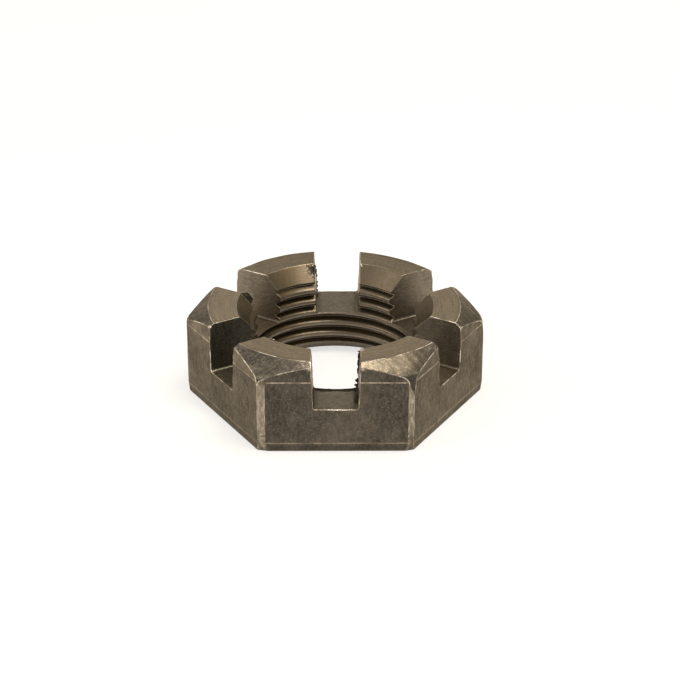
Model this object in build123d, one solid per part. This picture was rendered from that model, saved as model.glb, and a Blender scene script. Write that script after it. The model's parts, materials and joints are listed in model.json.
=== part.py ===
from build123d import *
from math import cos, radians, sin, tan
import os

# Castle nut: a thin (jam height) hexagon nut with six slots milled across its crown for a split pin.
# One solid piece of hot-forged steel, for a bolt of 1 inch diameter with 14 threads to the inch.
# Millimetres. The thread axis is +Z, the origin is the centre of the bearing face on Z = 0,
# and two of the six flats face along Y, each with a slot in its middle.

# Hexagon
ACROSS_FLATS = 38.1  # 1 1/2 inch
HEIGHT = 13.8906  # 35/64 inch
HEXAGON_SIDES = 6
CORNER_RADIUS = 1.45  # rounding of the six upright edges, which the forging die doesn't fill

# Crown: a flat ring on top, a cone that falls outwards from it, and a round shoulder that
# runs the cone down into the upright edges
TOP_FACE_INSET = 0.6  # how far inside the flats the cone starts
CROWN_ANGLE = 35.0  # fall of the cone below horizontal, in degrees
SHOULDER_SHARE = 0.48  # of the cone's length, how much the shoulder takes
SHOULDER_CLEARANCE = 0.05  # how far the shoulder's widest circle lies outside the upright edges

# Flats: upright between two lines, leaning inwards above the upper one and below the lower one
UPPER_LINE_HEIGHT = 11.05
UPPER_LEAN = 4.0  # degrees from upright
LOWER_LINE_HEIGHT = 1.1
LOWER_LEAN = 7.0  # degrees from upright

# Slots, one in the middle of each side, a little wider at the mouth than at the floor
SLOT_FLOOR_HEIGHT = 6.75  # above the bearing face
SLOT_FLOOR_WIDTH = 6.3
SLOT_WALL_LEAN = 2.5  # degrees from upright
SLOT_CORNER_RADIUS = 0.5

# Bore, at the minor diameter of the thread, with a countersink at each end
THREAD_DIAMETER = 25.4  # 1 inch
THREAD_PITCH = 1.8143  # 14 threads to the inch
THREAD_FORM_FACTOR = 1.0825  # of a 60 degree thread: major less minor diameter, in pitches
TOP_COUNTERSINK_DIAMETER = 28.8
BOTTOM_COUNTERSINK_DIAMETER = 27.4
COUNTERSINK_ANGLE = 45.0  # wall to axis, in degrees

CUT_MARGIN = 1.0  # how far each cutting shape stands out of the metal

half_flats = ACROSS_FLATS / 2
bore_radius = (THREAD_DIAMETER - THREAD_FORM_FACTOR * THREAD_PITCH) / 2
half_side_angle = radians(180 / HEXAGON_SIDES)
sharp_corner_reach = half_flats / cos(half_side_angle)
corner_reach = sharp_corner_reach - CORNER_RADIUS * (1 / cos(half_side_angle) - 1)


def hexagon(height):
    """The nut's outline on a level plane, with rounded corners, two of them on the X axis."""
    outline = RegularPolygon(half_flats, HEXAGON_SIDES, major_radius=False)
    return Pos(0, 0, height) * fillet(outline.vertices(), CORNER_RADIUS)


def hexagon_blank():
    """Upright flats, with the leaning bands above the upper line and below the lower one."""
    middle = extrude(hexagon(LOWER_LINE_HEIGHT), UPPER_LINE_HEIGHT - LOWER_LINE_HEIGHT)
    upper = extrude(hexagon(UPPER_LINE_HEIGHT), HEIGHT - UPPER_LINE_HEIGHT, taper=UPPER_LEAN)
    lower = extrude(hexagon(LOWER_LINE_HEIGHT), LOWER_LINE_HEIGHT, dir=(0, 0, -1), taper=LOWER_LEAN)
    return middle + upper + lower


def crown_envelope():
    """The turned form that trims the hexagon: top ring, falling cone and round shoulder."""
    top_radius = half_flats - TOP_FACE_INSET
    shoulder_reach = corner_reach + SHOULDER_CLEARANCE
    cone_length = (shoulder_reach - top_radius) / cos(radians(CROWN_ANGLE))
    cone_foot = HEIGHT - cone_length * sin(radians(CROWN_ANGLE))
    shoulder_radius = SHOULDER_SHARE * cone_length / tan(radians(90 - CROWN_ANGLE) / 2)
    section = Plane.XZ * Polygon(
        (0, -CUT_MARGIN),
        (shoulder_reach, -CUT_MARGIN),
        (shoulder_reach, cone_foot),
        (top_radius, HEIGHT),
        (0, HEIGHT),
        align=None,
    )
    shoulder = section.vertices().sort_by_distance((shoulder_reach, 0, cone_foot))[0]
    return revolve(fillet(shoulder, shoulder_radius), Axis.Z)


def bore():
    """The hole at the thread's minor diameter, opening into a countersink at each end."""
    slope = tan(radians(COUNTERSINK_ANGLE))
    top_radius = TOP_COUNTERSINK_DIAMETER / 2
    bottom_radius = BOTTOM_COUNTERSINK_DIAMETER / 2
    section = Plane.XZ * Polygon(
        (0, -CUT_MARGIN),
        (bottom_radius + CUT_MARGIN * slope, -CUT_MARGIN),
        (bore_radius, (bottom_radius - bore_radius) / slope),
        (bore_radius, HEIGHT - (top_radius - bore_radius) / slope),
        (top_radius + CUT_MARGIN * slope, HEIGHT + CUT_MARGIN),
        (0, HEIGHT + CUT_MARGIN),
        align=None,
    )
    return revolve(section, Axis.Z)


def slot_pair():
    """One cutter right across the nut along Y, which makes two facing slots."""
    depth = HEIGHT - SLOT_FLOOR_HEIGHT + CUT_MARGIN
    half_floor = SLOT_FLOOR_WIDTH / 2
    half_mouth = half_floor + depth * tan(radians(SLOT_WALL_LEAN))
    section = Polygon(
        (-half_floor, 0),
        (half_floor, 0),
        (half_mouth, depth),
        (-half_mouth, depth),
        align=None,
    )
    floor_corners = section.vertices().sort_by(Axis.Y)[:2]
    section = Pos(0, 0, SLOT_FLOOR_HEIGHT) * (Plane.XZ * fillet(floor_corners, SLOT_CORNER_RADIUS))
    return extrude(section, sharp_corner_reach, both=True)


def castle_nut():
    nut = (hexagon_blank() & crown_envelope()) - bore()
    for pair in range(HEXAGON_SIDES // 2):
        nut -= Rot(0, 0, pair * 360 / HEXAGON_SIDES) * slot_pair()
    return nut


nut = castle_nut()
nut.label = "castle_nut"
os.makedirs("parts", exist_ok=True)
export_step(nut, "parts/castle_nut.step")
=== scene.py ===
import json
import math
from types import SimpleNamespace

import bpy
import numpy as np
from mathutils import Matrix, Vector


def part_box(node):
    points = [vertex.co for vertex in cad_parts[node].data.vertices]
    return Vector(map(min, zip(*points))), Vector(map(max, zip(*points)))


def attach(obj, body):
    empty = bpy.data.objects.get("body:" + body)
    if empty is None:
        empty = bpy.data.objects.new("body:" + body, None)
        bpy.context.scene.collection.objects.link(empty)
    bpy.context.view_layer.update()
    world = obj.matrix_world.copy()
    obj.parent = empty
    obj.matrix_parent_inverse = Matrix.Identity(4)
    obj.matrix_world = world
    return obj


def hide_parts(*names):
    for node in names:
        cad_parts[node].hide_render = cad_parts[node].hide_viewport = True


# A dark steel castle nut: the CAD nut's form with its thread, worn edges, burrs and forged skin,
# under soft studio light on a white floor.
# The form is a signed distance field in millimetres, positive outside the metal, which is
# meshed on a grid, thinned out on its flats and settled onto the field's zero surface.

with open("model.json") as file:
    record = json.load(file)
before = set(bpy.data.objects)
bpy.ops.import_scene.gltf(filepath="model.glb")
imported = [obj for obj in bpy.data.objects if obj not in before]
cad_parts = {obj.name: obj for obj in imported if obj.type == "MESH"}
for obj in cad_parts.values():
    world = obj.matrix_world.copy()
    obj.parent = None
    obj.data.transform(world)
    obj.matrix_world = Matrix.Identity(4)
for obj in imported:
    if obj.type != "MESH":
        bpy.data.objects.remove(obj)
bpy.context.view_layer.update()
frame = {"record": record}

MM = 0.001
NODE = "castle_nut"
_, node_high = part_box(NODE)

# Form, in millimetres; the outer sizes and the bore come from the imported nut
HALF_FLATS = node_high.y / MM
HEIGHT = node_high.z / MM
BORE_RADIUS = next(m["dims"]["r_mm"] for m in frame["record"]["mounts"] if m["name"] == "thread")
CORNER_RADIUS = 1.45  # of the upright edges as they were forged
TOP_FACE_RADIUS = HALF_FLATS - 0.6
CROWN_OFFSET = (-0.12, 0.07)  # the crown was turned a little off the hexagon's centre
CROWN_ANGLE = math.radians(35.0)
SHOULDER_RADIUS = 1.4
SHOULDER_DRAFT = math.radians(5.0)  # lean of the crown's foot, below the shoulder
FOOT_RADIUS = 21.88  # of the crown at the height where its foot meets the upright edges
FOOT_HEIGHT = 9.7
UPPER_LINE_HEIGHT = 11.05
UPPER_LEAN = math.radians(4.0)
LOWER_LINE_HEIGHT = 1.35
LOWER_LEAN = math.radians(4.0)
FACET_LOWER_LEAN = math.radians(9.0)
SLOT_FLOOR_HEIGHT = 6.75
SLOT_HALF_WIDTH = 3.15
# each slot's direction in degrees, and in mm its shift anticlockwise, its extra half width
# and how much deeper it is
SLOTS = (
    (30.0, 0.0, 0.0, 0.0),
    (90.0, -0.37, 0.0, 0.0),
    (150.0, 0.0, 0.0, 0.0),
    (210.0, 0.14, 0.14, 0.30),
    (270.0, 0.0, 0.03, 0.0),
    (330.0, 0.0, 0.0, 0.12),
)
# the worn facet on each upright edge: the edge's direction and the facet's lean away from it
# in degrees, and how deep it cuts in mm
FACETS = (
    (0.0, 0.0, 0.23),
    (60.0, 0.0, 0.27),
    (120.0, 0.0, 0.27),
    (180.0, 0.0, 0.23),
    (240.0, 15.0, 0.24),
    (300.0, -12.0, 0.20),
)
SLOT_LEAN = math.radians(2.5)
SLOT_CORNER_RADIUS = 0.35
TOP_COUNTERSINK_RADIUS = 14.4
BOTTOM_COUNTERSINK_RADIUS = 13.7
THREAD_RADIUS = 12.7
THREAD_PITCH = 25.4 / 14
GROOVE_SHARPNESS = 1.6  # narrows the grooves between the worn, rounded ridges
THREAD_STEEPNESS = 0.6  # brings the thread's field near to a true distance
THREAD_PHASE = -0.057  # sets where round the bore a groove starts, in turns

EDGE_ROUNDING = 0.13  # worn edges of the outside
UPRIGHT_ROUNDING = 0.45
SLOT_EDGE_ROUNDING = 0.09

# Unevenness, in millimetres
FORGED_WAVES = ((5.0, 0.022, 1), (1.6, 0.010, 2))  # wavelength, height and seed
DENT_WAVELENGTH, DENT_DEPTH, DENT_LEVEL = 1.3, 0.05, 0.45
TEAR_WAVELENGTH, TEAR_DEPTH, TEAR_LEVEL = 1.0, 0.09, 0.1
CORNER_ZONE = 21.2  # radius past which the upright edges are dented

GRID_STEP = 0.17
GRID_MARGIN = 0.6
SURFACE_TRIANGLES = 190_000
PROJECTION_STEPS = 4
SEAM_DEPTH = 0.3  # how far inside the metal a surface may lie and still make an edge
LEAST_SEAM_SLOPE = 0.06
# where a cutter tore the thread beside a slot: X, Y, the lowest height and the reach
TEARS = ((-3.2, 13.4, 9.6, 1.1), (3.4, -13.2, 8.0, 1.0))
BURR_STEP = 0.14
BURR_THICKNESS = 0.07
BURR_TAPER = 0.4  # length at each end over which a burr dies out
BURR_SHAKE = 0.03
BURR_LEAST, BURR_MOST = 0.25, 0.80  # of a burr's ragged height, in shares of its width
GRADIENT_STEP = 0.01
SEED = 7

half_side = math.radians(30.0)
sharp_reach = HALF_FLATS / math.cos(half_side)
corner_reach = sharp_reach - CORNER_RADIUS * (1 / math.cos(half_side) - 1)


# ---------------------------------------------------------------- the field


def round_max(a, b, radius):
    """Intersection of two solids, its edge rounded to a radius."""
    outside = np.sqrt(np.maximum(a + radius, 0) ** 2 + np.maximum(b + radius, 0) ** 2)
    return np.minimum(np.maximum(a, b), -radius) + outside


def round_min(a, b, radius):
    """Union of two solids, the crease between them rounded to a radius."""
    return -round_max(-a, -b, radius)


def hexagon_field(x, y, z):
    inset = np.maximum(z - UPPER_LINE_HEIGHT, 0) * math.tan(UPPER_LEAN)
    inset = inset + np.maximum(LOWER_LINE_HEIGHT - z, 0) * math.tan(LOWER_LEAN)
    apothem = HALF_FLATS - inset - UPRIGHT_ROUNDING
    px, py = np.abs(x), np.abs(y)
    cos_half, sin_half = math.cos(half_side), math.sin(half_side)
    fold = 2 * np.minimum(sin_half * py - cos_half * px, 0) * -1
    px, py = px - fold * cos_half, py + fold * sin_half
    px = px - np.clip(px, -apothem * math.tan(half_side), apothem * math.tan(half_side))
    py = py - apothem
    return np.sign(py) * np.hypot(px, py) - UPRIGHT_ROUNDING


def facets_field(x, y, z):
    """The flat bands that wear has made on the six upright edges."""
    inset = np.maximum(LOWER_LINE_HEIGHT - z, 0) * math.tan(FACET_LOWER_LEAN)
    result = None
    for corner, lean, cut in FACETS:
        angle = math.radians(corner + lean)
        reach = sharp_reach * math.cos(math.radians(lean)) - cut
        facet = x * math.cos(angle) + y * math.sin(angle) - reach + inset
        result = facet if result is None else np.maximum(result, facet)
    return result


def crown_side_field(x, y, z):
    """The turned crown's falling cone, rounded into a steep foot on the upright edges."""
    radius = np.hypot(x - CROWN_OFFSET[0], y - CROWN_OFFSET[1])
    fall = (radius - TOP_FACE_RADIUS) * math.sin(CROWN_ANGLE) + (z - HEIGHT) * math.cos(CROWN_ANGLE)
    foot = (radius - FOOT_RADIUS) * math.cos(SHOULDER_DRAFT)
    foot = foot + (z - FOOT_HEIGHT) * math.sin(SHOULDER_DRAFT)
    # the fillet that touches both lines
    half_turn = (math.pi / 2 - SHOULDER_DRAFT - CROWN_ANGLE) / 2
    tangent = SHOULDER_RADIUS * math.tan(half_turn)
    along_fall = (fall * math.cos(2 * half_turn) - foot) / math.sin(2 * half_turn)
    along_foot = (foot * math.cos(2 * half_turn) - fall) / math.sin(2 * half_turn)
    on_arc = (along_fall < tangent) & (along_foot < tangent)
    from_centre = np.hypot(along_fall - tangent, fall + SHOULDER_RADIUS)
    return np.where(on_arc, from_centre - SHOULDER_RADIUS, np.maximum(fall, foot))


def slots_field(x, y, z):
    """The space of the six slots, negative inside it."""
    result = None
    for direction, shift, wider, deeper in SLOTS:
        angle = math.radians(direction)
        along = x * math.cos(angle) + y * math.sin(angle)
        across = np.abs(y * math.cos(angle) - x * math.sin(angle) - shift)
        rise = z - SLOT_FLOOR_HEIGHT + deeper
        wall = (across - SLOT_HALF_WIDTH - wider) * math.cos(SLOT_LEAN) - rise * math.sin(SLOT_LEAN)
        slot = round_max(round_max(wall, -rise, SLOT_CORNER_RADIUS), -along, SLOT_CORNER_RADIUS)
        result = slot if result is None else np.minimum(result, slot)
    return result


def bore_field(x, y, z, radius):
    """The space of the threaded bore and its countersinks, negative inside it."""
    turn = np.arctan2(y, x) / (2 * math.pi) + THREAD_PHASE
    groove = (0.5 + 0.5 * np.cos(2 * math.pi * (z / THREAD_PITCH - turn))) ** GROOVE_SHARPNESS
    threaded = radius - BORE_RADIUS - (THREAD_RADIUS - BORE_RADIUS) * groove
    threaded = threaded * THREAD_STEEPNESS
    diagonal = math.sqrt(0.5)
    top = (radius - TOP_COUNTERSINK_RADIUS + HEIGHT - z) * diagonal
    bottom = (radius - BOTTOM_COUNTERSINK_RADIUS + z) * diagonal
    return round_min(round_min(threaded, top, SLOT_EDGE_ROUNDING), bottom, SLOT_EDGE_ROUNDING)


def outside_fields(x, y, z):
    """The nut's sides, its crown's slope and its top, apart from each other."""
    sides = round_max(hexagon_field(x, y, z), facets_field(x, y, z), EDGE_ROUNDING)
    return sides, crown_side_field(x, y, z), z - HEIGHT


def nut_field(x, y, z):
    sides, slope, top = outside_fields(x, y, z)
    solid = round_max(sides, round_max(slope, top, EDGE_ROUNDING), EDGE_ROUNDING)
    solid = round_max(solid, -z, EDGE_ROUNDING)
    solid = round_max(solid, -bore_field(x, y, z, np.hypot(x, y)), SLOT_EDGE_ROUNDING)
    return round_max(solid, -slots_field(x, y, z), SLOT_EDGE_ROUNDING)


def nut_field_of(points):
    return nut_field(*points.T)


def surfaces(points):
    """The fields of the nut's separate surfaces at each point."""
    x, y, z = points.T
    sides, slope, top = outside_fields(x, y, z)
    return {
        "facet": facets_field(x, y, z),
        "flat": hexagon_field(x, y, z),
        "sides": sides,
        "slope": slope,
        "top": top,
        "outside": np.maximum(np.maximum(sides, slope), np.maximum(top, -z)),
        "slots": -slots_field(x, y, z),
        "bore": -bore_field(x, y, z, np.hypot(x, y)),
    }


# the edges the material draws: the attribute's name and the two surfaces that meet there
SEAMS = (
    ("facet_seam", "facet", "flat"),
    ("crown_seam", "slope", "sides"),
    ("ring_seam", "top", "slope"),
    ("slot_seam", "slots", "outside"),
    ("bore_seam", "bore", "outside"),
    ("mouth_seam", "slots", "bore"),
)
FAR_FROM_SEAM = 400.0


def seam_distance(points, normals, one, other):
    """How far along the surface each point is from the edge where two surfaces meet, signed."""

    def difference(at):
        fields = surfaces(at)
        return fields[one] - fields[other]

    slope = gradient(points, difference)
    slope -= normals * (slope * normals).sum(1)[:, None]
    distance = difference(points) / np.maximum(np.linalg.norm(slope, axis=1), LEAST_SEAM_SLOPE)
    fields = surfaces(points)
    away = np.maximum(fields[one], fields[other]) < -SEAM_DEPTH
    return np.where(away, np.sign(distance) * FAR_FROM_SEAM, distance)


def seams(points):
    """The attributes that tell the material where the edges run, in millimetres."""
    normals = gradient(points, nut_field_of)
    normals /= np.maximum(np.linalg.norm(normals, axis=1)[:, None], 1e-9)
    return {name: seam_distance(points, normals, one, other) for name, one, other in SEAMS}


# ---------------------------------------------------------------- wear


def waves(wavelength, count, seed):
    """Directions and phases of a sum of waves that reads as soft, even noise."""
    rng = np.random.default_rng(SEED + seed)
    direction = rng.normal(size=(count, 3))
    direction /= np.linalg.norm(direction, axis=1)[:, None]
    length = wavelength * rng.uniform(0.6, 1.6, size=(count, 1))
    return 2 * math.pi * direction / length, rng.uniform(0, 2 * math.pi, count)


def noise(points, wavelength, seed, count=18):
    """Smooth noise of about -1 to 1 at each point."""
    direction, phase = waves(wavelength, count, seed)
    total = np.zeros(len(points))
    for one, start in zip(direction, phase):
        total += np.sin(points @ one + start)
    return total * math.sqrt(2 / count) / 1.6


def torn(points):
    """1 where a slot's cutter tore the thread beside it, falling to 0 a little way off."""
    result = np.zeros(len(points))
    for x, y, low, reach in TEARS:
        across = np.hypot(points[:, 0] - x, points[:, 1] - y)
        near = np.clip((reach - across) / reach * 1.4, 0, 1)
        result = np.maximum(result, near * np.clip((points[:, 2] - low) / 0.8, 0, 1))
    return result


def worn_field(points):
    """The nut's field with the unevenness of a forged, handled part added."""
    x, y, z = points.T
    radius = np.hypot(x, y)
    field = nut_field(x, y, z)
    outside = np.clip((radius - 15.5) / 1.5, 0, 1) * np.clip(z / 0.4, 0, 1)
    forged = sum(height * noise(points, wavelength, seed) for wavelength, height, seed in FORGED_WAVES)
    corner = np.clip((radius - CORNER_ZONE) / 0.4, 0, 1)
    dents = DENT_DEPTH * np.maximum(noise(points, DENT_WAVELENGTH, 3) - DENT_LEVEL, 0) * corner
    tear = TEAR_DEPTH * torn(points) * (noise(points, TEAR_WAVELENGTH, 4) - TEAR_LEVEL)
    return field + outside * (forged + dents) + tear


def gradient(points, field):
    result = np.empty_like(points)
    for axis in range(3):
        step = np.zeros(3)
        step[axis] = GRADIENT_STEP
        result[:, axis] = (field(points + step) - field(points - step)) / (2 * GRADIENT_STEP)
    return result


def settle(points, field, steps):
    """Moves points onto the field's zero surface."""
    for _ in range(steps):
        slope = gradient(points, field)
        square = np.maximum((slope**2).sum(1), 0.05)
        move = slope * (field(points) / square)[:, None]
        length = np.linalg.norm(move, axis=1)[:, None]
        points = points - move * np.minimum(1, GRID_STEP / np.maximum(length, 1e-9))
    return points


# ---------------------------------------------------------------- meshing


def sampled_grid():
    """The field on a regular grid round the nut, and the grid's first point."""
    first = np.array([-corner_reach, -HALF_FLATS, 0.0]) - GRID_MARGIN
    last = np.array([corner_reach, HALF_FLATS, HEIGHT]) + GRID_MARGIN
    axes = [np.arange(a, b, GRID_STEP) for a, b in zip(first, last)]
    x, y = (g[:, :, None] for g in np.meshgrid(axes[0], axes[1], indexing="ij"))
    shape = (len(axes[0]), len(axes[1]), len(axes[2]))
    values = np.empty(shape, np.float32)
    for layer, height in enumerate(axes[2]):
        level = np.full_like(x, height)
        values[:, :, layer] = nut_field(x, y, level)[:, :, 0]
    return values, first


def surface_net(values, first):
    """One point in each grid cell that the surface crosses, and a quad across each crossed edge."""
    inside = values < 0
    cells = tuple(n - 1 for n in values.shape)
    corners = [(i, j, k) for i in (0, 1) for j in (0, 1) for k in (0, 1)]

    def corner(array, c):
        return array[c[0] : c[0] + cells[0], c[1] : c[1] + cells[1], c[2] : c[2] + cells[2]]

    filled = sum(corner(inside, c).astype(np.uint8) for c in corners)
    crossed = (filled > 0) & (filled < 8)
    where = np.argwhere(crossed)
    number = np.full(cells, -1, np.int64)
    number[crossed] = np.arange(len(where))

    total = np.zeros((len(where), 3))
    count = np.zeros(len(where))
    for a in corners:
        for axis in range(3):
            if a[axis]:
                continue
            b = tuple(1 if i == axis else a[i] for i in range(3))
            va = corner(values, a)[crossed].astype(float)
            vb = corner(values, b)[crossed].astype(float)
            cut = (va < 0) != (vb < 0)
            share = np.where(cut, va / np.where(cut, va - vb, 1), 0)
            point = np.tile(np.array(a, float), (len(where), 1))
            point[:, axis] += share
            total += point * cut[:, None]
            count += cut
    points = first + GRID_STEP * (where + total / count[:, None])

    quads = []
    for axis in range(3):
        u, v = (axis + 1) % 3, (axis + 2) % 3
        low = [slice(1, -1)] * 3
        low[axis] = slice(0, -1)
        high = list(low)
        high[axis] = slice(1, None)
        start, end = inside[tuple(low)], inside[tuple(high)]
        for leaves, order in ((start & ~end, 1), (~start & end, -1)):
            at = np.argwhere(leaves)
            at[:, u] += 1
            at[:, v] += 1
            ring = []
            for du, dv in ((-1, -1), (0, -1), (0, 0), (-1, 0))[::order]:
                cell = at.copy()
                cell[:, u] += du
                cell[:, v] += dv
                ring.append(number[cell[:, 0], cell[:, 1], cell[:, 2]])
            quads.append(np.stack(ring, 1))
    return points, np.concatenate(quads)


def mesh_of(name, points, quads):
    mesh = bpy.data.meshes.new(name)
    mesh.vertices.add(len(points))
    mesh.vertices.foreach_set("co", points.astype(np.float32).ravel())
    mesh.loops.add(quads.size)
    mesh.loops.foreach_set("vertex_index", quads.astype(np.int32).ravel())
    mesh.polygons.add(len(quads))
    mesh.polygons.foreach_set("loop_start", np.arange(0, quads.size, 4, dtype=np.int32))
    mesh.update(calc_edges=True)
    mesh.validate()
    return mesh


def thinned(piece, triangles):
    """The piece's mesh with fewer triangles, taken from its flats first."""
    before = 2 * len(piece.data.polygons)
    thin = piece.modifiers.new("thin", "DECIMATE")
    thin.ratio = min(1.0, triangles / before)
    thin.use_collapse_triangulate = True
    shown = piece.evaluated_get(bpy.context.evaluated_depsgraph_get())
    mesh = bpy.data.meshes.new_from_object(shown)
    piece.modifiers.clear()
    piece.data = mesh


def read_points(mesh):
    points = np.empty(len(mesh.vertices) * 3)
    mesh.vertices.foreach_get("co", points)
    return points.reshape(-1, 3)


def shade(mesh, points):
    """Smooth shading with the field's own normals, read a little way into each face."""
    corner_share = 0.3
    indices = np.empty(len(mesh.loops), np.int32)
    mesh.loops.foreach_get("vertex_index", indices)
    triangles = indices.reshape(-1, 3)
    centre = points[triangles].mean(1)
    looked = points[triangles] * (1 - corner_share) + centre[:, None, :] * corner_share
    normals = gradient(looked.reshape(-1, 3), worn_field)
    normals /= np.maximum(np.linalg.norm(normals, axis=1)[:, None], 1e-9)
    mesh.polygons.foreach_set("use_smooth", np.ones(len(mesh.polygons), bool))
    mesh.normals_split_custom_set(normals.astype(np.float32))


def add_values(mesh, name, values):
    layer = mesh.attributes.new(name, "FLOAT", "POINT")
    layer.data.foreach_set("value", np.asarray(values, np.float32))


def build_nut():
    points, quads = surface_net(*sampled_grid())
    points = settle(points, nut_field_of, 2)
    nut = bpy.data.objects.new("nut_body", mesh_of("nut_body", points, quads))
    bpy.context.scene.collection.objects.link(nut)
    thinned(nut, SURFACE_TRIANGLES)
    points = settle(read_points(nut.data), worn_field, PROJECTION_STEPS)
    points[:, 2] = np.maximum(points[:, 2], 0)
    shade(nut.data, points)
    for name, values in seams(points).items():
        add_values(nut.data, name, values)
    add_values(nut.data, "torn", torn(points))
    nut.data.vertices.foreach_set("co", (points * MM).astype(np.float32).ravel())
    nut.data.update()
    return nut


def burr(name, path, lean, width, seed, bright):
    """A ragged fin of metal that a cutter pushed out along an edge, rubbed bright or left dark."""
    path = np.array(path, float)
    lengths = np.linalg.norm(np.diff(path, axis=0), axis=1)
    run = np.concatenate(([0], np.cumsum(lengths)))
    stations = np.arange(0, run[-1], BURR_STEP)
    base = np.stack([np.interp(stations, run, path[:, axis]) for axis in range(3)], 1)
    rng = np.random.default_rng(SEED + seed)
    lean = np.array(lean, float) / np.linalg.norm(lean)
    ragged = np.abs(noise(base, 1.2, seed)) * 1.1 + rng.uniform(0, 0.3, len(stations))
    ragged = np.clip(ragged, BURR_LEAST, BURR_MOST)
    ragged *= np.clip(np.minimum(stations, run[-1] - stations) / BURR_TAPER, 0.1, 1)
    tip = base + lean * (width * ragged)[:, None] + rng.normal(0, BURR_SHAKE, base.shape)
    along = path[-1] - path[0]
    side = np.cross(along, lean)
    side *= BURR_THICKNESS / np.linalg.norm(side)
    rows = np.stack([base + side, tip, base - side], 1).reshape(-1, 3)
    count = len(stations)
    faces = []
    for i in range(count - 1):
        for k in range(3):
            m = (k + 1) % 3
            faces.append((3 * i + k, 3 * i + m, 3 * i + 3 + m, 3 * i + 3 + k))
    faces += [(0, 2, 1), (3 * count - 3, 3 * count - 2, 3 * count - 1)]
    mesh = bpy.data.meshes.new(name)
    mesh.from_pydata((rows * MM).tolist(), [], faces)
    for attribute, _, _ in SEAMS:
        on_edge = attribute == "slot_seam" and bright
        add_values(mesh, attribute, np.full(len(rows), 0.0 if on_edge else -FAR_FROM_SEAM))
    add_values(mesh, "torn", np.full(len(rows), 0.0 if bright else 1.0))
    fin = bpy.data.objects.new(name, mesh)
    bpy.context.scene.collection.objects.link(fin)
    return fin


def build_burrs():
    """The burrs on the front, left and rear slots and on the front left ring."""
    floor_z = SLOT_FLOOR_HEIGHT
    x = SLOT_HALF_WIDTH
    lip = THREAD_RADIUS
    rim = TOP_COUNTERSINK_RADIUS
    ring_corner = (x + 0.30, -rim - 0.25, HEIGHT)
    front_right = [ring_corner, (x + 0.25, -rim + 1.6, 12.2), (x + 0.05, -lip, 8.6)]
    front_rim = [ring_corner, (x + 1.0, -rim - 0.1, HEIGHT)]
    low_right = [
        (x + 0.05, -17.6, floor_z + 0.1),
        (x + 0.05, -rim - 0.4, floor_z + 0.2),
        (x + 0.1, -lip - 0.3, floor_z + 0.9),
        (x + 0.15, -lip, 8.8),
    ]
    floor_lip = [
        (-x, -lip - 0.05, floor_z + 0.05),
        (0, -lip - 0.35, floor_z),
        (x, -lip - 0.1, floor_z + 0.05),
    ]
    left_rear = [(-13.8, 4.2, HEIGHT - 0.15), (-12.4, 3.35, HEIGHT - 1.5)]
    rear_left = [(-x + 0.05, rim, HEIGHT - 0.1), (-x + 0.35, rim - 1.6, 12.0), (-x + 0.4, lip, 8.3)]
    front_left = [(-9.4, -10.9, HEIGHT), (-8.6, -11.4, HEIGHT)]
    return [
        burr("burr_front_right", front_right, (-1, 0.3, 0.1), 0.32, 11, False),
        burr("burr_front_right_rim", front_rim, (-0.2, 0.2, 1), 0.35, 12, True),
        burr("burr_front_right_low", low_right, (-1, 0.1, 0.15), 0.75, 16, False),
        burr("burr_slot_floor", floor_lip, (0, 1, -0.35), 0.80, 13, False),
        burr("burr_left_rear", left_rear, (0.6, 0.6, 0.1), 1.15, 17, False),
        burr("burr_rear_left", rear_left, (1, -0.2, 0), 0.33, 14, False),
        burr("burr_front_left", front_left, (0.2, 0.3, 1), 0.25, 15, True),
    ]


# ---------------------------------------------------------------- material


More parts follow.
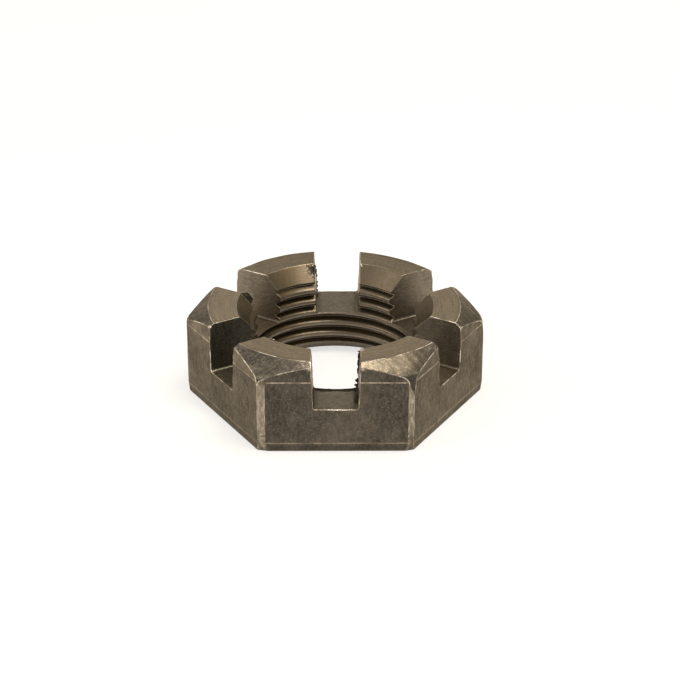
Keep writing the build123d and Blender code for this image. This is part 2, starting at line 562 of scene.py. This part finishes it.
class Nodes:
    """Short calls for building a node tree."""

    def __init__(self, tree):
        self.tree = tree

    def add(self, kind, **settings):
        node = self.tree.nodes.new(kind)
        for key, value in settings.items():
            setattr(node, key, value)
        return node

    def put(self, value, socket):
        if isinstance(value, bpy.types.NodeSocket):
            self.tree.links.new(value, socket)
        elif value is not None:
            socket.default_value = value

    def math(self, operation, a, b=None, c=None, clamp=False):
        node = self.add("ShaderNodeMath", operation=operation, use_clamp=clamp)
        for value, socket in zip((a, b, c), node.inputs):
            self.put(value, socket)
        return node.outputs[0]

    def vector(self, operation, a, b=None):
        node = self.add("ShaderNodeVectorMath", operation=operation)
        self.put(a, node.inputs[0])
        self.put(b, node.inputs[1])
        return node.outputs["Value" if operation in ("DOT_PRODUCT", "LENGTH") else "Vector"]

    def ramp(self, value, start, end, low=0.0, high=1.0):
        """value brought from start..end to low..high, smoothly and clamped."""
        node = self.add("ShaderNodeMapRange", interpolation_type="SMOOTHSTEP")
        for setting, socket in zip((value, start, end, low, high), node.inputs):
            self.put(setting, socket)
        return node.outputs["Result"]

    def noise(self, vector, scale, detail=3.0, roughness=0.5, distortion=0.0):
        node = self.add("ShaderNodeTexNoise")
        self.put(vector, node.inputs["Vector"])
        node.inputs["Scale"].default_value = scale
        node.inputs["Detail"].default_value = detail
        node.inputs["Roughness"].default_value = roughness
        node.inputs["Distortion"].default_value = distortion
        return node.outputs["Fac"]

    def zone(self, value, span, low=0.0, high=1.0):
        """ramp across a span given in millimetres."""
        return self.ramp(value, span[0] * MM, span[1] * MM, low, high)

    def times(self, first, *others):
        """The product of some values."""
        for other in others:
            first = self.math("MULTIPLY", first, other)
        return first

    def greatest(self, first, *others):
        for other in others:
            first = self.math("MAXIMUM", first, other)
        return first

    def mix(self, share, a, b):
        node = self.add("ShaderNodeMix", data_type="RGBA")
        self.put(share, node.inputs["Factor"])
        self.put(a, node.inputs["A"])
        self.put(b, node.inputs["B"])
        return node.outputs["Result"]

    def over(self, below, colour, *shares):
        """colour laid over below by the product of the shares."""
        return self.mix(self.times(*shares), below, colour)

    def scaled(self, vector, x, y, z):
        node = self.add("ShaderNodeMapping")
        self.put(vector, node.inputs["Vector"])
        node.inputs["Scale"].default_value = (x, y, z)
        return node.outputs["Vector"]


# the dark oxide of the skin, also laid on as painted shade on the front flat, in the slot floors'
# corners and on the cone above the crown's foot
DARK_OXIDE_AND_SHADE = (0.041, 0.036, 0.027, 1)
# painted shade for the left slot's wall
OLIVE_PAINTED_SHADE = (0.074, 0.076, 0.055, 1)
SMOOTH_OXIDE = (0.105, 0.085, 0.056, 1)
OXIDE = (0.126, 0.106, 0.081, 1)
PALE_OXIDE = (0.200, 0.168, 0.128, 1)
TURNED_STEEL = (0.315, 0.245, 0.158, 1)
# cut steel of the slots and bore, its lightness on the slot walls partly painted light
MILLED_STEEL_AND_LIGHT = (0.290, 0.240, 0.178, 1)
SINK_STEEL = (0.080, 0.058, 0.032, 1)
# oil in the grooves, and painted shade in hollows, on the front slot's lip, on torn metal and at the
# foot of the bore
OIL_AND_PAINTED_SHADE = (0.010, 0.008, 0.006, 1)
# pale worn steel, also laid on as painted light on the upper band of the left-front flat
RUBBED_STEEL_AND_LIGHT = (0.46, 0.375, 0.275, 1)
BARE_STEEL = (0.85, 0.75, 0.61, 1)
GRAZING_TINT = (0.92, 0.84, 0.72, 1)


# where the material changes, in millimetres: from none to all of it
RING_HEIGHT = (13.2, 13.5)
FLOOR_TOP = (7.6, 7.3)
CONE_RADIUS = (17.6, 18.6)
PITTED_X = (1.0, -1.0)
SPLIT_X = (9.0, 10.0)
NICKED_HEIGHT = (3.8, 2.2)
STRIP_END = (10.5, 10.9)
FOOT_EDGE = (0.26, 0.14)
REAR_RING_Y = (8.0, 11.0)
LEFT_RING_X = (-11.0, -14.0)
# where the painted shade on the left slot's wall lies
WALL_SHADE_X = (-11.0, -12.0)
WALL_SHADE_Y = (1.0, 0.0)
CROWN_SHADE_X = (6.5, 9.5)
FRONT_LIP_Y = (-8.0, -10.0)
LEFT_BAND_HEIGHT = (11.0, 11.3)
LOW_BAND_HEIGHT = (1.05, 0.9)
DARK_SINK_X = (-4.5, -6.5)
LOW_BORE_HEIGHT = (2.0, 1.0)
LOW_BORE_RADIUS = (14.2, 13.6)
LIP_RADIUS, LIP_WANDER = 13.2, 0.9
HOLLOW_REACH = 1.2
BUMP_DEPTH = 0.07

# ways a surface may face
FRONT = (0, -1, 0)
LEFT_FRONT = (-0.866, -0.5, 0)
LEFT_SLOT_WALL = (0.5, -0.866, 0)


def attribute(n, name):
    return n.add("ShaderNodeAttribute", attribute_name=name).outputs["Fac"]


def seam_line(n, name, width):
    """1 on an edge of the nut, falling to 0 at a width from it in millimetres."""
    return n.ramp(n.math("ABSOLUTE", attribute(n, name)), width, 0.25 * width)


def level_line(n, height, level, width):
    """1 at a height in millimetres, falling to 0 at a width from it."""
    off = n.math("ABSOLUTE", n.math("SUBTRACT", height, level * MM))
    return n.ramp(off, width * MM, 0.3 * width * MM)


def facing(n, at, direction, start, end):
    return n.ramp(n.vector("DOT_PRODUCT", at.normal, direction), start, end)


def read_place(n):
    """Where on the nut a point is, which way it faces and which surfaces it belongs to."""
    at = SimpleNamespace()
    at.place = n.add("ShaderNodeTexCoord").outputs["Object"]
    at.normal = n.add("ShaderNodeNewGeometry").outputs["Normal"]
    level = n.vector("MULTIPLY", at.place, (1, 1, 0))
    at.radius = n.vector("LENGTH", level)
    parts = n.add("ShaderNodeSeparateXYZ")
    n.put(at.place, parts.inputs[0])
    at.x, at.y, at.height = parts.outputs
    at.outward = n.vector("DOT_PRODUCT", at.normal, n.vector("NORMALIZE", level))
    at.up = n.vector("DOT_PRODUCT", at.normal, (0, 0, 1))
    at.facet_seam = attribute(n, "facet_seam")
    at.crown_seam = attribute(n, "crown_seam")

    level_face = n.ramp(at.up, 0.90, 0.97)
    sideways = n.math("ABSOLUTE", at.outward)
    at.on_flats = n.ramp(at.outward, 0.70, 0.80)
    at.on_top = n.times(level_face, n.zone(at.height, RING_HEIGHT))
    at.on_floors = n.times(level_face, n.zone(at.height, FLOOR_TOP))
    at.on_cone = n.times(n.ramp(at.up, 0.45, 0.60), n.zone(at.radius, CONE_RADIUS))
    at.in_bore = n.ramp(at.outward, -0.25, -0.40)
    at.on_walls = n.times(n.ramp(sideways, 0.45, 0.25), n.ramp(at.up, 0.5, 0.3))
    below_crown = n.ramp(at.crown_seam, 0.04, -0.04)
    on_facet = n.ramp(at.facet_seam, -0.05, 0.05)
    at.on_facet = n.times(on_facet, n.ramp(at.outward, 0.6, 0.75), below_crown)
    at.pitted_side = n.zone(at.x, PITTED_X, 0.25, 1.0)
    return at


def add_textures(n, at):
    """The noises that several layers of the material share."""
    hollow = n.add("ShaderNodeAmbientOcclusion", samples=8)
    hollow.inputs["Distance"].default_value = HOLLOW_REACH * MM
    at.open_share = hollow.outputs["AO"]
    at.patches = n.noise(at.place, 480, 4, 0.65)
    at.patchy = n.ramp(at.patches, 0.38, 0.60)
    at.pits = n.noise(at.place, 1700, 4, 0.75)
    at.mottle = n.ramp(n.noise(n.scaled(at.place, 1, 1, 0.45), 1900, 5, 0.72), 0.36, 0.64)
    # rings round the axis on turned faces, and strokes along the cut on milled ones
    around = n.math("ARCTAN2", at.x, n.math("MULTIPLY", at.y, -1.0))
    lathe = n.add("ShaderNodeCombineXYZ")
    n.put(at.radius, lathe.inputs["X"])
    n.put(n.math("MULTIPLY", around, 0.5 * MM), lathe.inputs["Y"])
    n.put(n.math("MULTIPLY", at.height, 0.8), lathe.inputs["Z"])
    at.streaks = n.noise(lathe.outputs["Vector"], 7000, 3, 0.6)
    at.strokes = n.noise(n.scaled(at.place, 0.16, 0.16, 1), 5200, 3, 0.6)


def edge_lines(n, at):
    """Thin rubbed lines along the nut's edges and along the two levels where its sides lean."""
    edges = n.greatest(
        n.times(seam_line(n, "ring_seam", 0.10), 0.85),
        n.times(seam_line(n, "crown_seam", 0.14), 0.85),
        n.times(seam_line(n, "slot_seam", 0.15), 0.95),
        n.times(seam_line(n, "bore_seam", 0.10), 0.45),
        n.times(seam_line(n, "mouth_seam", 0.10), 0.15),
    )
    upper = n.times(level_line(n, at.height, UPPER_LINE_HEIGHT, 0.14), 0.7)
    upper = n.times(upper, n.ramp(at.facet_seam, -0.1, -0.5))
    lower = n.times(level_line(n, at.height, LOWER_LINE_HEIGHT, 0.12), 0.55)
    levels = n.times(n.greatest(upper, lower), at.on_flats)
    foot = n.times(n.zone(at.height, FOOT_EDGE), n.ramp(at.outward, 0.3, 0.6), 0.55)
    broken = n.math("MULTIPLY_ADD", at.patchy, 0.7, 0.3)
    return n.times(n.greatest(edges, levels, foot), broken)


def corner_strips(n, at):
    """The pale facets on the upright edges, nicked low down and ending dark below the crown."""
    grain = n.noise(n.scaled(at.place, 1, 1, 0.35), 2600, 3, 0.65)
    strip = n.times(at.on_facet, n.ramp(grain, 0.32, 0.62, 0.34, 0.66))
    outline = n.times(seam_line(n, "facet_seam", 0.12), n.ramp(at.crown_seam, 0.0, -0.1))
    outline = n.times(outline, n.ramp(at.patches, 0.40, 0.58, 0.35, 0.70), at.on_flats)
    nicks = n.ramp(n.noise(at.place, 2200, 3, 0.7), 0.46, 0.56)
    split = n.times(n.ramp(at.facet_seam, 0.12, 0.30), n.zone(at.x, SPLIT_X))
    nicks = n.times(n.greatest(nicks, split), n.zone(at.height, NICKED_HEIGHT))
    nicks = n.greatest(nicks, n.zone(at.height, STRIP_END))
    return n.times(n.greatest(strip, outline), n.math("MULTIPLY_ADD", nicks, -0.75, 1.0))


def worn_share(n, at):
    """How far the oxide is rubbed off."""
    rubbed = n.times(seam_line(n, "slot_seam", 0.9), seam_line(n, "crown_seam", 0.55))
    rubbed = n.times(rubbed, n.ramp(n.noise(at.place, 1400, 3, 0.7), 0.40, 0.62))
    worn = n.greatest(edge_lines(n, at), rubbed, corner_strips(n, at))
    return n.times(worn, n.ramp(at.open_share, 0.35, 0.65))


def oxide_skin(n, at):
    """The black oxide, mottled from fine grain up to wide clouds."""
    blotch = n.ramp(n.noise(n.scaled(at.place, 1, 1, 0.6), 520, 4, 0.65), 0.40, 0.66)
    fine = n.ramp(n.noise(at.place, 4000, 2, 0.6), 0.35, 0.65)
    cloud = n.ramp(n.noise(at.place, 170, 3, 0.55), 0.35, 0.65)
    dark = n.math("MULTIPLY_ADD", at.mottle, 0.60, n.times(fine, 0.35))
    skin = n.mix(dark, OXIDE, DARK_OXIDE_AND_SHADE)
    skin = n.over(skin, PALE_OXIDE, cloud, 0.40)
    return n.over(skin, DARK_OXIDE_AND_SHADE, blotch, 0.28)


def machined(n, at, skin):
    """Turned rings on the top, and the slots and bore as cut by milling; the slot walls' lighter tone
    is partly painted light.
    """
    turned = n.mix(n.ramp(at.streaks, 0.30, 0.60, 0.35, 1.0), OXIDE, TURNED_STEEL)
    turned = n.over(turned, DARK_OXIDE_AND_SHADE, at.mottle, 0.25)
    turned = n.over(turned, DARK_OXIDE_AND_SHADE, n.zone(at.y, REAR_RING_Y, 0.0, 0.28))
    turned = n.over(turned, RUBBED_STEEL_AND_LIGHT, n.zone(at.x, LEFT_RING_X, 0.0, 0.16))
    skin = n.over(skin, turned, at.on_top, 0.85)
    milled_and_lit = n.mix(n.ramp(at.strokes, 0.30, 0.60, 0.45, 1.0), OXIDE, MILLED_STEEL_AND_LIGHT)
    # the slot walls' lighter tone stands for cut steel and partly for painted light where light
    # reaches them
    skin = n.over(skin, milled_and_lit, at.on_walls, 0.8)
    skin = n.over(skin, milled_and_lit, at.on_floors, 0.35)
    return n.over(skin, MILLED_STEEL_AND_LIGHT, at.in_bore, 0.45)


def toned_sides(n, at, skin):
    """Painted shade: the front flat made darker, and the left slot's wall made dark where the tower
    before it keeps the light off.
    """
    # painted shade: the flat that faces the front is darkened
    front_flat_shade = facing(n, at, FRONT, 0.93, 0.98)
    skin = n.over(skin, DARK_OXIDE_AND_SHADE, front_flat_shade, at.on_flats, 0.14)
    # painted shade on the left slot's wall that faces the front left tower, which keeps the light off
    # it
    wall_shade = facing(n, at, LEFT_SLOT_WALL, 0.15, 0.45)
    wall_shade = n.times(wall_shade, n.zone(at.x, WALL_SHADE_X), n.zone(at.y, WALL_SHADE_Y))
    wall_shade = n.times(wall_shade, n.ramp(attribute(n, "slot_seam"), 0.0, 0.2))
    return n.over(skin, OLIVE_PAINTED_SHADE, wall_shade, 0.8)


def toned_crown(n, at, skin):
    """The crown: its dark foot, smooth right side, pitted left side, painted shade on the cone above
    the foot on the right, and rubbed slot edges.
    """
    foot = n.times(n.ramp(at.crown_seam, 0.0, 0.1), n.ramp(at.up, 0.5, 0.3))
    skin = n.over(skin, DARK_OXIDE_AND_SHADE, foot, n.ramp(at.outward, 0.6, 0.8), 0.75)
    skin = n.over(skin, SMOOTH_OXIDE, at.on_cone, n.ramp(at.pitted_side, 0.6, 0.3), 0.70)
    # painted shade: a dark patch on the cone just above the crown's foot, on the right
    shade_above_foot = n.times(seam_line(n, "crown_seam", 1.9), n.zone(at.x, CROWN_SHADE_X))
    shade_above_foot = n.times(shade_above_foot, at.on_cone, n.ramp(at.patches, 0.36, 0.56, 0.5, 1.0))
    skin = n.over(skin, DARK_OXIDE_AND_SHADE, shade_above_foot, 0.65)
    pitted = n.times(n.ramp(at.pits, 0.46, 0.58), at.pitted_side)
    skin = n.over(skin, DARK_OXIDE_AND_SHADE, pitted, at.on_cone, 0.55)
    speckle = n.ramp(n.noise(at.place, 3000, 3, 0.6), 0.54, 0.68)
    skin = n.over(skin, RUBBED_STEEL_AND_LIGHT, speckle, 0.16)
    sparkle = n.ramp(n.noise(at.place, 2400, 3, 0.7), 0.40, 0.60)
    return n.over(skin, RUBBED_STEEL_AND_LIGHT, seam_line(n, "slot_seam", 3.4), at.on_cone, sparkle, 0.20)


def toned_levels(n, at, skin):
    """Painted shade in the slots' corners and on the front slot's lip, and the bands beyond the
    levels: painted light on the upper band of the left-front flat, and a darker band low on the flats.
    """
    # painted shade: the slot floors darken where ambient occlusion finds them shut in, in their
    # corners
    skin = n.over(skin, DARK_OXIDE_AND_SHADE, at.on_floors, n.ramp(at.open_share, 0.92, 0.62), 0.75)
    # painted shade on the front slot's floor along its lip at the bore
    lip_reach = n.math("MULTIPLY_ADD", at.patches, LIP_WANDER * MM, LIP_RADIUS * MM)
    front_lip_shade = n.times(at.on_floors, n.math("LESS_THAN", at.radius, lip_reach))
    skin = n.over(skin, OIL_AND_PAINTED_SHADE, front_lip_shade, n.zone(at.y, FRONT_LIP_Y), 0.85)
    # painted light: the upper band of the left-front flat made lighter
    left_band_light = n.times(facing(n, at, LEFT_FRONT, 0.90, 0.97), n.zone(at.height, LEFT_BAND_HEIGHT))
    skin = n.over(skin, RUBBED_STEEL_AND_LIGHT, left_band_light, at.patchy, 0.22)
    return n.over(skin, DARK_OXIDE_AND_SHADE, n.zone(at.height, LOW_BAND_HEIGHT), at.on_flats, 0.35)


def oil_and_shade_in_hollows(n, at, skin):
    """Oil and painted shade in the grooves and shut-in hollows, a darker countersink, torn metal
    darkened partly as painted shade, and painted shade at the foot of the bore.
    """
    # oil and painted shade: darker where ambient occlusion finds the surface shut in, most in the bore
    shut = n.ramp(at.open_share, n.math("MULTIPLY_ADD", at.in_bore, 0.10, 0.50), 0.18)
    skin = n.over(skin, OIL_AND_PAINTED_SHADE, shut, 0.92)
    on_sink = n.times(n.ramp(at.up, 0.50, 0.62), at.in_bore)
    skin = n.over(skin, SINK_STEEL, on_sink, n.zone(at.x, DARK_SINK_X, 0.72, 0.95))
    uneven = n.ramp(n.noise(at.place, 1500, 2, 0.6), 0.38, 0.58, 0.60, 0.92)
    # torn metal and the dark burrs darkened, partly as painted shade
    skin = n.over(skin, OIL_AND_PAINTED_SHADE, attribute(n, "torn"), uneven)
    # painted shade at the foot of the bore, near the floor
    low_bore_shade = n.times(n.zone(at.height, LOW_BORE_HEIGHT), n.zone(at.radius, LOW_BORE_RADIUS))
    return n.over(skin, OIL_AND_PAINTED_SHADE, low_bore_shade, 0.85)


def relief_normal(n, at):
    """Fine relief: grain and pits, turned rings on the top and tool marks on the slot walls."""
    grain = n.noise(at.place, 4200, 3, 0.6)
    pit_depth = n.math("MULTIPLY_ADD", n.times(at.on_cone, at.pitted_side), 0.9, 0.5)
    relief = n.math("MULTIPLY_ADD", grain, 0.4, n.times(at.pits, pit_depth))
    relief = n.math("MULTIPLY_ADD", n.times(at.strokes, at.on_walls), 0.8, relief)
    relief = n.math("MULTIPLY_ADD", n.times(at.streaks, at.on_top), 0.5, relief)
    relief = n.times(relief, n.math("MULTIPLY_ADD", at.in_bore, -0.7, 1.0))
    relief = n.times(relief, n.math("MULTIPLY_ADD", at.on_facet, -0.5, 1.0))
    bump = n.add("ShaderNodeBump")
    bump.inputs["Strength"].default_value = 0.6
    bump.inputs["Distance"].default_value = BUMP_DEPTH * MM
    n.put(relief, bump.inputs["Height"])
    return bump.outputs["Normal"]


def steel_material():
    material = bpy.data.materials.new("dark_steel")
    material.use_nodes = True
    tree = material.node_tree
    tree.nodes.clear()
    n = Nodes(tree)
    at = read_place(n)
    add_textures(n, at)
    skin = oxide_skin(n, at)
    for layer in (machined, toned_sides, toned_crown, toned_levels, oil_and_shade_in_hollows):
        skin = layer(n, at, skin)
    worn = worn_share(n, at)
    metal = n.mix(n.ramp(worn, 0.50, 0.95), RUBBED_STEEL_AND_LIGHT, BARE_STEEL)
    rough = n.math("MULTIPLY_ADD", at.mottle, 0.10, 0.36)
    rough = n.math("MULTIPLY_ADD", at.in_bore, -0.04, rough)

    shader = n.add("ShaderNodeBsdfPrincipled")
    shader.inputs["Metallic"].default_value = 1.0
    shader.inputs["Specular Tint"].default_value = GRAZING_TINT
    n.put(n.mix(worn, skin, metal), shader.inputs["Base Color"])
    n.put(rough, shader.inputs["Roughness"])
    n.put(relief_normal(n, at), shader.inputs["Normal"])
    output = n.add("ShaderNodeOutputMaterial")
    n.put(shader.outputs[0], output.inputs["Surface"])
    return material


# ---------------------------------------------------------------- stage


WHITE_SHARE = 0.68  # of the floor that the camera sees as plain white
WORLD_STRENGTH = 0.75  # of the light round the nut; the camera sees the world at 1
WARM = (1.0, 0.95, 0.88)


def seen_white(n, shader, share):
    """shader as every other ray meets it, and mostly plain white for the camera and in gloss."""
    light_path = n.add("ShaderNodeLightPath")
    seen = n.math("ADD", light_path.outputs["Is Camera Ray"], light_path.outputs["Is Glossy Ray"])
    seen = n.math("ADD", seen, light_path.outputs["Is Transmission Ray"], clamp=True)
    white = n.add("ShaderNodeEmission")
    white.inputs["Color"].default_value = (0.995, 0.99, 0.985, 1)
    mixed = n.add("ShaderNodeMixShader")
    n.put(n.math("MULTIPLY", seen, share), mixed.inputs[0])
    n.put(shader, mixed.inputs[1])
    n.put(white.outputs[0], mixed.inputs[2])
    return mixed.outputs[0]


def floor():
    """A wide white floor that keeps the nut's shadow and its warm light from below."""
    side = 3.0
    mesh = bpy.data.meshes.new("floor")
    corners = [(-side, -side, 0), (side, -side, 0), (side, side, 0), (-side, side, 0)]
    mesh.from_pydata(corners, [], [(0, 1, 2, 3)])
    ground = bpy.data.objects.new("floor", mesh)
    bpy.context.scene.collection.objects.link(ground)
    material = bpy.data.materials.new("white_floor")
    material.use_nodes = True
    material.node_tree.nodes.clear()
    n = Nodes(material.node_tree)
    cloth = n.add("ShaderNodeBsdfDiffuse")
    cloth.inputs["Color"].default_value = (0.86, 0.80, 0.70, 1)
    output = n.add("ShaderNodeOutputMaterial")
    n.put(seen_white(n, cloth.outputs[0], WHITE_SHARE), output.inputs["Surface"])
    mesh.materials.append(material)


def soft_light(name, place, size, watts, colour, aim=(0, 0, 0.007)):
    data = bpy.data.lights.new(name, "AREA")
    data.shape = "RECTANGLE"
    data.size, data.size_y = size
    data.energy = watts
    data.color = colour
    lamp = bpy.data.objects.new(name, data)
    bpy.context.scene.collection.objects.link(lamp)
    lamp.location = place
    lamp.rotation_mode = "QUATERNION"
    lamp.rotation_quaternion = (Vector(aim) - Vector(place)).to_track_quat("-Z", "Y")


def studio():
    world = bpy.data.worlds.new("studio")
    bpy.context.scene.world = world
    world.use_nodes = True
    background = world.node_tree.nodes["Background"]
    n = Nodes(world.node_tree)
    path = n.add("ShaderNodeLightPath").outputs["Is Camera Ray"]
    background.inputs["Color"].default_value = (1.0, 0.99, 0.98, 1)
    n.put(n.ramp(path, 0, 1, WORLD_STRENGTH, 1.0), background.inputs["Strength"])
    soft_light("overhead", (0.0, 0.0, 0.45), (0.07, 0.07), 0.35, WARM)
    soft_light("right_key", (0.12, -0.03, 0.42), (0.16, 0.16), 1.25, WARM)
    soft_light("left_fill", (-0.5, -0.1, 0.35), (0.4, 0.4), 1.3, WARM)
    floor()


def camera():
    """The view from in front and above, with a long lens."""
    distance = 0.38519
    elevation = math.radians(28.22)
    turn = math.radians(-0.25)
    back = Vector((0, -math.cos(elevation), math.sin(elevation)))
    back.rotate(Matrix.Rotation(turn, 3, "Z"))
    data = bpy.data.cameras.new("camera")
    data.sensor_width = 36.0
    data.lens = 133.26
    data.shift_x = 0.0069
    data.shift_y = 0.0546
    data.clip_start, data.clip_end = 0.01, 20
    view = bpy.data.objects.new("camera", data)
    bpy.context.scene.collection.objects.link(view)
    view.location = back * distance
    view.rotation_mode = "QUATERNION"
    view.rotation_quaternion = (-back).to_track_quat("-Z", "Y")
    bpy.context.scene.camera = view
    bpy.context.scene.view_settings.view_transform = "Standard"


camera()
studio()
nut = build_nut()
steel = steel_material()
for piece in [nut] + build_burrs():
    piece.data.materials.clear()
    piece.data.materials.append(steel)
    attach(piece, "root")
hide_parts(NODE)
